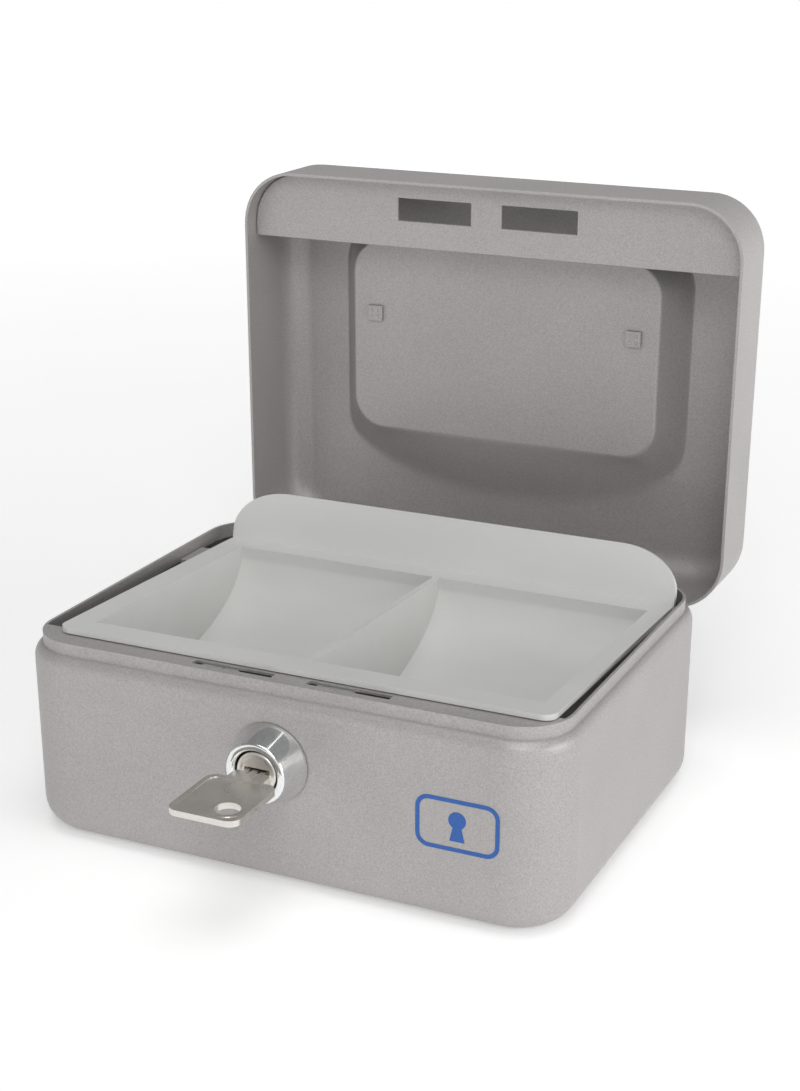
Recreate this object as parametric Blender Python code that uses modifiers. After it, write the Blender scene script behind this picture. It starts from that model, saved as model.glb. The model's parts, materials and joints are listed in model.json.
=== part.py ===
"""A small steel cash box with a lift-out coin tray, a hinged lid with a folding handle, and a key lock
that lifts two hooks into the lid. It stands open at rest, with the lid upright.

Frame: +Z up, +X to the right of someone facing the lock, -Y towards them. The origin is at the centre
of the flat bottom. Lengths are in metres; MM turns millimetres into them.
"""

import math

import bmesh
import bpy
from mathutils import Matrix

MM = 0.001
GAP = 0.3 * MM  # room between parts that touch on the real box

# The box, closed: 152 x 115 x 80 mm
WIDTH = 152 * MM
DEPTH = 115 * MM
HEIGHT = 80 * MM
SHEET = 0.8 * MM
CORNER_RADIUS = 15.5 * MM
BOTTOM_RADIUS = 8.5 * MM
HALF_W = WIDTH / 2
HALF_D = DEPTH / 2

# The body's shoulder, and the short neck above it that the lid drops over
SHOULDER_Z = 48.6 * MM
SEAM_Z = 52.0 * MM
NECK_Z = 55.4 * MM
NECK_INSET = 2.2 * MM
NECK_INSET_FRONT = 2.5 * MM
LEDGE_REAR_Y = -45.4 * MM

# The hinge at the back of the body, and the lid
HINGE_Y = HALF_D + 1.8 * MM
HINGE_Z = 40.0 * MM
LID_OPEN_DEG = 90.0
LID_RIM_Z = SEAM_Z + GAP
LID_TOP_RADIUS = 8.0 * MM
KNUCKLE_RADIUS = 1.5 * MM
HINGE_PIN_RADIUS = 0.7 * MM
HINGE_LENGTH = 96 * MM
KNUCKLE_COUNT = 5
LEAF_BODY_HEIGHT = 13 * MM
LEAF_LID_HEIGHT = 25 * MM
HEEL_LENGTH = 3.0 * MM

# The pressed recess in the lid's top that holds the handle. Its places along Y run from the lid's back edge.
RECESS_DEPTH = 10.2 * MM
RECESS_FLOOR_HALF_X = 47.5 * MM
RECESS_FLOOR_BACK = 38.5 * MM
RECESS_FLOOR_FRONT = 94.0 * MM
RECESS_HALF_X = 55.5 * MM
RECESS_SCOOP_BACK = 15.5 * MM
RECESS_SCOOP_ENDS = 38.0 * MM
RECESS_FRONT = 98.0 * MM
RECESS_CORNER = 12 * MM
RECESS_FLOOR_CORNER = 9 * MM
BACK_POINTS = 14  # half the points of an outline, along the back of the recess
HANDLE_PIVOT_V = 73.0 * MM
HANDLE_PIVOT_X = 40.9 * MM
HANDLE_PIVOT_Z = HEIGHT - RECESS_DEPTH + 3.2 * MM
HANDLE_REACH = 33 * MM
HANDLE_LEG_X = 33.5 * MM
LUG_HALF_WIDTH = 3.0 * MM
LUG_HALF_LENGTH = 4.0 * MM
LUG_TOP = 3.2 * MM
WIRE_RADIUS = 2.0 * MM
SHANK = 3.4 * MM
CLINCH_WIDTH = 4.6 * MM

# The strip inside the lid's front, and the slots in the body's ledge. The hooks pass through both.
FLANGE_Z = 57.6 * MM
FLANGE_DEPTH = 18.5 * MM
FLANGE_UPSTAND = 8 * MM
HOOK_PITCH = 32.2 * MM
SLOT_LENGTH = 22.6 * MM
SLOT_FRONT_Y = -52.6 * MM
SLOT_REAR_Y = -50.2 * MM
SLOTS_CENTRE_X = 2.8 * MM
OPENING_LENGTH = 22.8 * MM
OPENING_FRONT_Y = -52.0 * MM
OPENING_REAR_Y = -45.6 * MM
OPENINGS_CENTRE_X = -0.85 * MM

# The lock in the body's front wall, and the hook plate that it drives
LOCK_Z = 35.0 * MM
LOCK_FACE_Y = -HALF_D - 8.2 * MM
COLLAR_BASE_RADIUS = 10.5 * MM
COLLAR_FACE_RADIUS = 8.2 * MM
BARREL_RADIUS = 7.2 * MM
BARREL_END_Y = -53.4 * MM
BORE_RADIUS = 5.8 * MM
PLUG_RADIUS = 5.5 * MM
NUT_RADIUS = 10.4 * MM
CRANK_RADIUS = 8.0 * MM
CRANK_PIN_RADIUS = 1.6 * MM
CAM_FRONT_Y = -53.1 * MM
CAM_REAR_Y = -52.1 * MM
HOOK_FRONT_Y = -51.7 * MM
HOOK_REAR_Y = -50.5 * MM
HOOK_WIDTH = 12 * MM
HOOK_NOSE = 4.0 * MM
HOOK_UNDER_Z = 52.5 * MM
HOOK_TOP_Z = 54.9 * MM
HOOK_START = 1.4 * MM  # from the slot's left end to the hook
HOOK_BAR_TOP = 46.2 * MM
HOOK_BAR_LOW = 41.0 * MM
WAFER_COUNT = 3
WAFER_PITCH = 2.1 * MM
KEYWAY_WIDTH = 6.8 * MM
KEYWAY_HEIGHT = 2.2 * MM
BLADE_WIDTH = 5.6 * MM
KEY_THICKNESS = 1.6 * MM
BOW_WIDTH = 19 * MM
BOW_FRONT_Y = -92.0 * MM
BOW_REAR_Y = -70.5 * MM
BOW_CORNER = 3.0 * MM
KEY_NECK_WIDTH = 10 * MM
KEY_NECK_END_Y = -66.0 * MM
KEY_TIP_Y = -57.4 * MM
KEY_HOLE_X = 4.2 * MM
KEY_HOLE_Y = -86.0 * MM
KEY_HOLE_RADIUS = 3.2 * MM
PLUG_FACE_Y = LOCK_FACE_Y + 0.8 * MM
KEYWAY_END_Y = -57.0 * MM
NUT_THICK = 2.4 * MM
DRIVE_SQUARE = 5.0 * MM
LOBE_RADIUS = 3.0 * MM
CRANK_PIN_END_Y = -49.0 * MM
SCREW_RADIUS = 1.2 * MM
SCREW_END_Y = -56.2 * MM
SCREW_HEAD_RADIUS = 2.9 * MM
SCREW_HEAD = 1.4 * MM
WASHER_RADIUS = 3.3 * MM
WASHER_THICK = 0.6 * MM
CLIP_RADIUS = 3.2 * MM
CLIP_THICK = 0.6 * MM
TAB_RADIUS = 4.0 * MM
WAFER_WIDTH = 7.6 * MM
WAFER_THICK = 0.8 * MM
COVER_HALF_W = 37 * MM
COVER_FOOT = 8 * MM
COVER_REAR_Y = -46.2 * MM
COVER_LOW_Z = 20 * MM
COVER_HIGH_Z = 47.5 * MM

# The coin tray: its rim rests on the ledge in front and lower, on two rests, at the back
TRAY_X = 2.15 * MM
TRAY_FRONT_Y = -49.4 * MM
TRAY_TOP_Z = 57.2 * MM
TRAY_PITCH_DEG = -2.18
TRAY_HALF_W = 68.85 * MM
TRAY_LENGTH = 93.5 * MM
RIM_THICK = 1.5 * MM
TRAY_WALL = 1.6 * MM
POCKET_HALF_W = 62.8 * MM
POCKETS_X = 1.0 * MM
POCKET_FRONT = 7.6 * MM
POCKET_REAR = 85.0 * MM
POCKET_DEPTH = 25 * MM
PANEL_HEIGHT = 15.4 * MM
PANEL_CORNER = 17 * MM
PANEL_LEAN_DEG = 14.0
PANEL_CORNER_RISE = 12 * MM
POCKET_SWEEP = 30 * MM
DIVIDER = 1.8 * MM
REST_Y = 28 * MM
REST_HALF_LENGTH = 6 * MM
REST_REACH = 2.8 * MM
REST_LOW_Z = 32 * MM


# ---------------------------------------------------------------- scene and helpers


def clear_scene():
    for old in list(bpy.data.objects):
        bpy.data.objects.remove(old, do_unlink=True)


def new_collection(name):
    made = bpy.data.collections.new(name)
    bpy.context.scene.collection.children.link(made)
    return made


def material(name, colour, metallic, roughness):
    made = bpy.data.materials.new(name)
    made.use_nodes = True
    shader = made.node_tree.nodes["Principled BSDF"]
    shader.inputs["Base Color"].default_value = (*colour, 1.0)
    shader.inputs["Metallic"].default_value = metallic
    shader.inputs["Roughness"].default_value = roughness
    return made


def axis_empty(name, position, parent=None, rotation=(0, 0, 0)):
    """An empty on a joint's axis, which its moving pieces hang from."""
    empty = bpy.data.objects.new(name, None)
    PARTS.objects.link(empty)
    empty.location = position
    empty.rotation_euler = rotation
    empty["rest"] = position
    if parent:
        hang(empty, parent)
    return empty


def hang(obj, parent):
    """Parent obj, keeping its coordinates those of the closed box, before the lid is turned."""
    obj.parent = parent
    obj.matrix_parent_inverse = Matrix.Translation(parent["rest"]).inverted()


def mesh_object(name, mesh, collection):
    obj = bpy.data.objects.new(name, mesh)
    collection.objects.link(obj)
    return obj


def from_bmesh(name, made, collection):
    mesh = bpy.data.meshes.new(name)
    bmesh.ops.recalc_face_normals(made, faces=made.faces)
    made.to_mesh(mesh)
    made.free()
    return mesh_object(name, mesh, collection)


def box(name, low, high, collection):
    made = bmesh.new()
    bmesh.ops.create_cube(made, size=1.0)
    for vert in made.verts:
        vert.co = [low[i] + (vert.co[i] + 0.5) * (high[i] - low[i]) for i in range(3)]
    return from_bmesh(name, made, collection)


def prism(name, outline, start, end, axis, collection):
    """A flat outline swept along an axis: (x, z) points along Y, (y, z) along X, or (x, y) along Z."""
    made = bmesh.new()
    place = {
        "X": lambda p: (start, p[0], p[1]),
        "Y": lambda p: (p[0], start, p[1]),
        "Z": lambda p: (p[0], p[1], start),
    }[axis]
    face = made.faces.new([made.verts.new(place(p)) for p in outline])
    swept = bmesh.ops.extrude_face_region(made, geom=[face])["geom"]
    verts = [part for part in swept if isinstance(part, bmesh.types.BMVert)]
    sweep = [end - start if name_of_axis == axis else 0 for name_of_axis in "XYZ"]
    bmesh.ops.translate(made, verts=verts, vec=sweep)
    return from_bmesh(name, made, collection)


def arc(centre, radius_x, radius_y, start_deg, end_deg, steps):
    angles = [math.radians(start_deg + (end_deg - start_deg) * i / steps) for i in range(steps + 1)]
    return [(centre[0] + radius_x * math.cos(a), centre[1] + radius_y * math.sin(a)) for a in angles]


def circle(x, z, radius, steps=24):
    return arc((x, z), radius, radius, 0, 360 - 360 / steps, steps - 1)


def rounded(half_x, low_y, high_y, radius, steps=6):
    """A rounded rectangle, centred on X, from the back right corner round to the front right one."""
    points = []
    for turn, (sx, y) in enumerate(((1, high_y), (-1, high_y), (-1, low_y), (1, low_y))):
        sy = 1 if turn < 2 else -1
        centre = (sx * (half_x - radius), y - sy * radius)
        points += arc(centre, radius, radius, 90 * turn, 90 * turn + 90, steps)
    return points


def turned(name, profile, steps=32):
    """A profile of (radius, y) points turned round the lock's axis, closed on itself or at the axis."""
    count = len(profile)
    edges = [(i, i + 1) for i in range(count - 1)]
    if profile[0][0] > 0:
        edges.append((count - 1, 0))
    mesh = bpy.data.meshes.new(name)
    mesh.from_pydata([(radius, y, 0) for radius, y in profile], edges, [])
    obj = mesh_object(name, mesh, PARTS)
    obj.location.z = LOCK_Z
    screw = obj.modifiers.new("turn", "SCREW")
    screw.axis = "Y"
    screw.steps = steps
    screw.render_steps = steps
    screw.use_merge_vertices = True
    screw.merge_threshold = 0.00001
    screw.use_smooth_shade = False
    screw.use_normal_flip = True
    return obj


def boolean(obj, other, operation):
    made = obj.modifiers.new(other.name, "BOOLEAN")
    made.operation = operation
    made.object = other
    made.solver = "EXACT"


def cut(obj, *cutters):
    for other in cutters:
        boolean(obj, other, "DIFFERENCE")


def join(obj, *others):
    for other in others:
        boolean(obj, other, "UNION")


def cutter(obj):
    obj.hide_render = True
    obj.display_type = "WIRE"
    return obj


def cut_box(name, low, high):
    return cutter(box(name, low, high, CUTTERS))


def cut_prism(name, outline, start, end, axis):
    return cutter(prism(name, outline, start, end, axis, CUTTERS))


def finish(obj, finish_material, parent=None):
    obj.data.materials.clear()
    obj.data.materials.append(finish_material)
    if parent:
        hang(obj, parent)
        for modifier in obj.modifiers:
            if modifier.type == "BOOLEAN" and modifier.object.parent is None:
                hang(modifier.object, parent)
    return obj


def shell(name, rings, cap_ends=(True, False)):
    """An open surface through rings of (x, y, z) points, made solid inwards by the sheet's thickness."""
    made = bmesh.new()
    loops = [[made.verts.new(p) for p in ring] for ring in rings]
    count = len(loops[0])
    for lower, upper in zip(loops, loops[1:]):
        for i in range(count):
            k = (i + 1) % count
            made.faces.new((lower[i], lower[k], upper[k], upper[i]))
    for end, wanted in zip((loops[0], loops[-1]), cap_ends):
        if wanted:
            made.faces.new(end)
    obj = from_bmesh(name, made, PARTS)
    thick = obj.modifiers.new("sheet", "SOLIDIFY")
    thick.thickness = SHEET
    thick.offset = -1.0
    thick.use_even_offset = True
    return obj


def ring(points, z):
    return [(x, y, z) for x, y in points]


# ---------------------------------------------------------------- body


def neck_outline(inset_share):
    """The body's outline in plan, drawn in by a share of the neck's inset."""
    side = NECK_INSET * inset_share
    front = NECK_INSET_FRONT * inset_share
    return rounded(HALF_W - side, -HALF_D + front, HALF_D - side, CORNER_RADIUS - side)


def body_rings():
    rings = []
    for i in range(5):
        turn = math.radians(90 * i / 4)
        inset = BOTTOM_RADIUS * (1 - math.sin(turn))
        z = BOTTOM_RADIUS * (1 - math.cos(turn))
        outline = rounded(HALF_W - inset, -HALF_D + inset, HALF_D - inset, CORNER_RADIUS - inset)
        rings.append(ring(outline, z))
    for i in range(5):
        turn = math.radians(90 * i / 4)
        z = SHOULDER_Z + (SEAM_Z - SHOULDER_Z) * math.sin(turn)
        rings.append(ring(neck_outline(1 - math.cos(turn)), z))
    rings.append(ring(neck_outline(1), NECK_Z))
    return rings


def ledge():
    """The front of the neck is folded in flat: this is the fold, from the middle of the sheet inwards."""
    half = HALF_W - NECK_INSET - SHEET / 2
    front = -HALF_D + NECK_INSET_FRONT + SHEET / 2
    edge = rounded(half, front, HALF_D, CORNER_RADIUS - NECK_INSET - SHEET / 2)
    front_edge = [point for point in edge if point[1] < LEDGE_REAR_Y]
    outline = [(-half, LEDGE_REAR_Y), *front_edge, (half, LEDGE_REAR_Y)]
    return cut_prism("ledge", outline, NECK_Z - SHEET, NECK_Z - 0.02 * MM, "Z")


def box_body():
    body = shell("box_body", body_rings())
    join(body, ledge())
    for i in range(2):
        left = left_end(i, SLOT_LENGTH, SLOTS_CENTRE_X)
        low = (left, SLOT_FRONT_Y, NECK_Z - 3 * MM)
        cut(body, cut_box(f"slot_{i + 1}", low, (left + SLOT_LENGTH, SLOT_REAR_Y, NECK_Z + MM)))
    hole = circle(0, LOCK_Z, BARREL_RADIUS + GAP, 32)
    cut(body, cut_prism("lock_hole", hole, -HALF_D - MM, -HALF_D + 2 * MM, "Y"))
    return finish(body, PAINT)


def left_end(index, length, centre):
    """The left end of the first or second of two slots in line."""
    return centre - HOOK_PITCH / 2 - length / 2 + index * HOOK_PITCH


def rest_height():
    """The height of the pitched rim's underside over the rear end of the rests."""
    reach = REST_Y + REST_HALF_LENGTH - TRAY_FRONT_Y
    pitch = math.radians(TRAY_PITCH_DEG)
    return TRAY_TOP_Z + reach * math.tan(pitch) - RIM_THICK / math.cos(pitch)


def tray_rest(name, side):
    """A bent steel tab, spot-welded inside the side wall, that the back of the tray's rim rests on."""
    wall = HALF_W - SHEET - GAP
    neck = HALF_W - NECK_INSET - SHEET - GAP
    shelf = rest_height() - GAP
    inner = TRAY_X * side + TRAY_HALF_W - REST_REACH
    outline = [
        (wall, REST_LOW_Z),
        (wall, SHOULDER_Z - 4 * MM),
        (neck, SHOULDER_Z - MM),
        (neck, shelf),
        (inner, shelf),
        (inner, shelf - SHEET),
        (neck - SHEET, shelf - SHEET),
        (neck - SHEET, SHOULDER_Z - 1.3 * MM),
        (wall - SHEET, SHOULDER_Z - 4.3 * MM),
        (wall - SHEET, REST_LOW_Z),
    ]
    outline = [(side * x, z) for x, z in outline]
    tab = prism(name, outline, REST_Y - REST_HALF_LENGTH, REST_Y + REST_HALF_LENGTH, "Y", PARTS)
    return finish(tab, PAINT)


def lock_cover():
    """A bent steel cover round the back of the lock, spot-welded to the front wall by its two feet."""
    wall = -HALF_D + SHEET + GAP
    half = COVER_HALF_W
    right = [
        (half + COVER_FOOT, wall),
        (half + COVER_FOOT, wall + SHEET),
        (half, wall + SHEET),
        (half, COVER_REAR_Y),
    ]
    left = [(-x, y) for x, y in reversed(right)]
    inner = [
        (-half + SHEET, wall),
        (-half + SHEET, COVER_REAR_Y - SHEET),
        (half - SHEET, COVER_REAR_Y - SHEET),
        (half - SHEET, wall),
    ]
    cover = prism("lock_cover", right + left + inner, COVER_LOW_Z, COVER_HIGH_Z, "Z", PARTS)
    return finish(cover, PAINT)


# ---------------------------------------------------------------- hinge


def knuckles(owner):
    """The X ranges of the knuckles that belong to the body (0) or to the lid (1)."""
    pitch = HINGE_LENGTH / KNUCKLE_COUNT
    starts = [-HINGE_LENGTH / 2 + i * pitch for i in range(KNUCKLE_COUNT)]
    return [(x + GAP, x + pitch - GAP) for i, x in enumerate(starts) if i % 2 == owner]


def heel_outline(direction, start, end):
    """A tab out of the knuckle's back at 45 degrees, up (1) or down (-1), on the leaf's own side."""
    slope = math.cos(math.radians(45))
    outline = []
    for along, across in ((start, GAP / 2), (end, GAP / 2), (end, SHEET), (start, SHEET)):
        outline.append((HINGE_Y + (along - across) * slope, HINGE_Z + (along + across) * slope * direction))
    return outline


def hinge_leaf(name, owner, direction, length, parent=None):
    """A leaf with rolled knuckles. Its heel meets the other leaf's heel and stops the lid upright."""
    front = HALF_D + GAP
    half = HINGE_LENGTH / 2
    clear = KNUCKLE_RADIUS + GAP
    ends = sorted((HINGE_Z + clear * direction, HINGE_Z + length * direction))
    leaf = box(name, (-half, front, ends[0]), (half, front + SHEET, ends[1]), PARTS)
    roll = circle(HINGE_Y, HINGE_Z, KNUCKLE_RADIUS, 20)
    web = heel_outline(direction, HINGE_PIN_RADIUS + GAP, clear + 0.2 * MM)
    for i, (start, end) in enumerate(knuckles(owner)):
        z_ends = sorted((HINGE_Z, HINGE_Z + (clear + 0.2 * MM) * direction))
        neck = cut_box(f"{name}_neck_{i}", (start, front, z_ends[0]), (end, front + SHEET, z_ends[1]))
        join(leaf, neck, cut_prism(f"{name}_roll_{i}", roll, start, end, "X"))
        join(leaf, cut_prism(f"{name}_web_{i}", web, start, end, "X"))
    heel = heel_outline(direction, clear, clear + HEEL_LENGTH)
    join(leaf, cut_prism(f"{name}_heel", heel, -half, half, "X"))
    bore = circle(HINGE_Y, HINGE_Z, HINGE_PIN_RADIUS + GAP, 16)
    cut(leaf, cut_prism(f"{name}_bore", bore, -half - MM, half + MM, "X"))
    return finish(leaf, ZINC, parent)


def hinge_pin():
    outline = circle(HINGE_Y, HINGE_Z, HINGE_PIN_RADIUS, 16)
    pin = prism("hinge_pin", outline, -HINGE_LENGTH / 2 - MM, HINGE_LENGTH / 2 + MM, "X", PARTS)
    return finish(pin, NICKEL)


# ---------------------------------------------------------------- lid, modelled closed


def from_back(v):
    """The Y of a place v in front of the closed lid's back edge."""
    return HALF_D - v


def scoop_turns():
    """The angles at which the back of the recess is drawn, from the right end to the left."""
    return [math.pi * (i + 0.5) / BACK_POINTS for i in range(BACK_POINTS)]


def recess_outline():
    """The recess at the lid's top face: straight in front, and a wide finger scoop at the back."""
    ends_y = from_back(RECESS_SCOOP_ENDS)
    rise = RECESS_SCOOP_ENDS - RECESS_SCOOP_BACK
    back = [(RECESS_HALF_X * math.cos(t), ends_y + rise * math.sin(t)) for t in scoop_turns()]
    whole = rounded(RECESS_HALF_X, from_back(RECESS_FRONT), ends_y, RECESS_CORNER)
    return back + whole[BACK_POINTS:]


def recess_floor():
    """The recess at its floor: a rounded rectangle, with points opposite those of the scoop."""
    straight = RECESS_FLOOR_HALF_X - RECESS_FLOOR_CORNER
    back = []
    for turn in scoop_turns():
        x = RECESS_FLOOR_HALF_X * math.cos(turn)
        past = max(0, abs(x) - straight)
        drop = RECESS_FLOOR_CORNER - math.sqrt(RECESS_FLOOR_CORNER**2 - past**2)
        back.append((x, from_back(RECESS_FLOOR_BACK) - drop))
    front_y = from_back(RECESS_FLOOR_FRONT)
    whole = rounded(RECESS_FLOOR_HALF_X, front_y, from_back(RECESS_FLOOR_BACK), RECESS_FLOOR_CORNER)
    return back + whole[BACK_POINTS:]


def lid_rings():
    rings = [ring(recess_floor(), HEIGHT - RECESS_DEPTH)]
    rings.append(ring(recess_outline(), HEIGHT))
    for i in range(6):
        turn = math.radians(90 * i / 5)
        inset = LID_TOP_RADIUS * (1 - math.sin(turn))
        z = HEIGHT - LID_TOP_RADIUS * (1 - math.cos(turn))
        rings.append(ring(rounded(HALF_W - inset, -HALF_D + inset, HALF_D - inset, CORNER_RADIUS - inset), z))
    rings.append(ring(rounded(HALF_W, -HALF_D, HALF_D, CORNER_RADIUS), LID_RIM_Z))
    return rings


def lid_shell(parent):
    lid = shell("lid_shell", lid_rings())
    floor = HEIGHT - RECESS_DEPTH
    pivot_y = from_back(HANDLE_PIVOT_V)
    reach = SHANK / 2 + GAP
    for name, side in (("left", -1), ("right", 1)):
        x = side * HANDLE_PIVOT_X
        low = (x - reach, pivot_y - reach, floor - 2 * MM)
        cut(lid, cut_box(f"shank_hole_{name}", low, (x + reach, pivot_y + reach, floor + MM)))
    return finish(lid, PAINT, parent)


def lid_latch_flange(parent):
    """A strip across the inside of the lid's front, spot-welded by its upstand, that the hooks catch."""
    half = HALF_W - SHEET - GAP
    front = -HALF_D + SHEET + GAP
    rear = front + FLANGE_DEPTH
    edge = rounded(half, front, HALF_D, CORNER_RADIUS - SHEET - GAP)
    front_edge = [point for point in edge if point[1] < rear]
    outline = [(-half, rear), *front_edge, (half, rear)]
    strip = prism("lid_latch_flange", outline, FLANGE_Z, FLANGE_Z + SHEET, "Z", PARTS)
    flat = HALF_W - CORNER_RADIUS - MM
    top = FLANGE_Z + FLANGE_UPSTAND
    join(strip, cut_box("flange_upstand", (-flat, front, FLANGE_Z + SHEET / 2), (flat, front + SHEET, top)))
    for i in range(2):
        left = left_end(i, OPENING_LENGTH, OPENINGS_CENTRE_X)
        low = (left, OPENING_FRONT_Y, FLANGE_Z - MM)
        high = (left + OPENING_LENGTH, OPENING_REAR_Y, FLANGE_Z + 2 * MM)
        cut(strip, cut_box(f"flange_opening_{i + 1}", low, high))
    return finish(strip, PAINT, parent)


def handle_bracket(name, side, parent):
    """A lug for the handle's end on the recess floor. Its square shank is clinched over inside the lid."""
    x = side * HANDLE_PIVOT_X
    y = from_back(HANDLE_PIVOT_V)
    floor = HEIGHT - RECESS_DEPTH
    half = SHANK / 2
    top = HANDLE_PIVOT_Z + LUG_TOP
    low = (x - LUG_HALF_WIDTH, y - LUG_HALF_LENGTH, floor + GAP)
    lug = box(name, low, (x + LUG_HALF_WIDTH, y + LUG_HALF_LENGTH, top), PARTS)
    under = floor - SHEET - GAP
    low = (x - half, y - half, under - 0.3 * MM)
    join(lug, cut_box(f"{name}_shank", low, (x + half, y + half, floor + MM)))
    half = CLINCH_WIDTH / 2
    join(lug, cut_box(f"{name}_clinch", (x - half, y - half, under - 0.7 * MM), (x + half, y + half, under)))
    bore = circle(y, HANDLE_PIVOT_Z, WIRE_RADIUS + GAP, 20)
    cut(lug, cut_prism(f"{name}_bore", bore, x - 5 * MM, x + 5 * MM, "X"))
    return finish(lug, PAINT, parent)


def handle_bail(parent):
    """A bent wire, folded back over the recess floor, with its ends turned out into the brackets."""
    y = from_back(HANDLE_PIVOT_V)
    leg = HANDLE_LEG_X
    tip = HANDLE_PIVOT_X + LUG_HALF_WIDTH
    bend = 4 * MM
    grip_bend = 7 * MM
    right = [(tip, y)]
    right += arc((leg + bend, y + bend), bend, bend, 270, 180, 5)
    right += arc((leg - grip_bend, y + HANDLE_REACH - grip_bend), grip_bend, grip_bend, 0, 90, 5)
    path = right + [(-px, py) for px, py in reversed(right)]
    curve = bpy.data.curves.new("handle_bail", "CURVE")
    curve.dimensions = "3D"
    curve.bevel_depth = WIRE_RADIUS
    curve.bevel_resolution = 3
    curve.use_fill_caps = True
    spline = curve.splines.new("POLY")
    spline.points.add(len(path) - 1)
    for point, (px, py) in zip(spline.points, path):
        point.co = (px, py, HANDLE_PIVOT_Z, 1)
    bail = mesh_object("handle_bail", curve, PARTS)
    return finish(bail, CHROME, parent)


# ---------------------------------------------------------------- lock


def lock_housing():
    profile = [
        (BORE_RADIUS, LOCK_FACE_Y),
        (COLLAR_FACE_RADIUS - 0.6 * MM, LOCK_FACE_Y),
        (COLLAR_FACE_RADIUS, LOCK_FACE_Y + 0.6 * MM),
        (COLLAR_BASE_RADIUS, -HALF_D - GAP - 0.8 * MM),
        (COLLAR_BASE_RADIUS, -HALF_D - GAP),
        (BARREL_RADIUS, -HALF_D - GAP),
        (BARREL_RADIUS, BARREL_END_Y),
        (BORE_RADIUS, BARREL_END_Y),
    ]
    housing = turned("lock_housing", profile)
    return finish(housing, CHROME)


def lock_nut():
    front = -HALF_D + SHEET + GAP
    hexagon = circle(0, LOCK_Z, NUT_RADIUS, 6)
    nut = prism("lock_nut", hexagon, front, front + NUT_THICK, "Y", PARTS)
    bore = circle(0, LOCK_Z, BARREL_RADIUS + GAP, 32)
    cut(nut, cut_prism("nut_bore", bore, front - MM, front + NUT_THICK + MM, "Y"))
    return finish(nut, ZINC)


def wafer_places():
    first = PLUG_FACE_Y + 1.6 * MM
    return [first + i * WAFER_PITCH for i in range(WAFER_COUNT)]


def lock_plug(parent):
    """The turning plug: a keyway and slots for the wafers, and a square at the back that drives the cam."""
    profile = [(0, PLUG_FACE_Y), (PLUG_RADIUS, PLUG_FACE_Y), (PLUG_RADIUS, BARREL_END_Y), (0, BARREL_END_Y)]
    plug = turned("lock_plug", profile)
    half = DRIVE_SQUARE / 2
    low = (-half, BARREL_END_Y - MM, LOCK_Z - half)
    join(plug, cut_box("plug_square", low, (half, CAM_REAR_Y, LOCK_Z + half)))
    cut(plug, keyway())
    reach = WAFER_WIDTH / 2 + GAP
    for i, y in enumerate(wafer_places()):
        low = (-reach, y - GAP, LOCK_Z - PLUG_RADIUS - MM)
        high = (reach, y + WAFER_THICK + GAP, LOCK_Z + PLUG_RADIUS + MM)
        cut(plug, cut_box(f"wafer_slot_{i + 1}", low, high))
    screw = circle(0, LOCK_Z, SCREW_RADIUS + GAP, 16)
    cut(plug, cut_prism("plug_screw_hole", screw, SCREW_END_Y - GAP, CAM_REAR_Y + MM, "Y"))
    return finish(plug, CHROME, parent)


def keyway():
    low = (-KEYWAY_WIDTH / 2, PLUG_FACE_Y - MM, LOCK_Z - KEYWAY_HEIGHT / 2)
    high = (KEYWAY_WIDTH / 2, KEYWAY_END_Y, LOCK_Z + KEYWAY_HEIGHT / 2)
    return cut_box("keyway", low, high)


def wafer(index, y, parent):
    """A brass wafer, held level by the key's blade, which passes through its window."""
    half = WAFER_WIDTH / 2
    height = math.sqrt(PLUG_RADIUS**2 - half**2) - 0.1 * MM
    name = f"wafer_{index}"
    plate = box(name, (-half, y, LOCK_Z - height), (half, y + WAFER_THICK, LOCK_Z + height), PARTS)
    window = KEY_THICKNESS / 2 + GAP
    half = BLADE_WIDTH / 2 + GAP
    low = (-half, y - MM, LOCK_Z - window)
    cut(plate, cut_box(f"{name}_window", low, (half, y + WAFER_THICK + MM, LOCK_Z + window)))
    return finish(plate, BRASS, parent)


def lock_cam(parent):
    """The disc on the plug's square, with a crank pin to the left that carries the hook plate."""
    disc = arc((0, LOCK_Z), 6.4 * MM, 6.4 * MM, -110, 110, 14)
    lobe = arc((-CRANK_RADIUS, LOCK_Z), LOBE_RADIUS, LOBE_RADIUS, 100, 260, 8)
    cam = prism("lock_cam", disc + lobe, CAM_FRONT_Y, CAM_REAR_Y, "Y", PARTS)
    pin = circle(-CRANK_RADIUS, LOCK_Z, CRANK_PIN_RADIUS, 20)
    join(cam, cut_prism("crank_pin", pin, CAM_REAR_Y - 0.5 * MM, CRANK_PIN_END_Y, "Y"))
    half = DRIVE_SQUARE / 2 + GAP
    low = (-half, CAM_FRONT_Y - MM, LOCK_Z - half)
    cut(cam, cut_box("cam_square", low, (half, CAM_REAR_Y + 0.2 * MM, LOCK_Z + half)))
    return finish(cam, STEEL, parent)


def cam_washer(parent):
    front = CAM_REAR_Y + GAP
    profile = [
        (SCREW_RADIUS + GAP, front),
        (WASHER_RADIUS, front),
        (WASHER_RADIUS, front + WASHER_THICK),
        (SCREW_RADIUS + GAP, front + WASHER_THICK),
    ]
    return finish(turned("cam_washer", profile), ZINC, parent)


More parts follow.
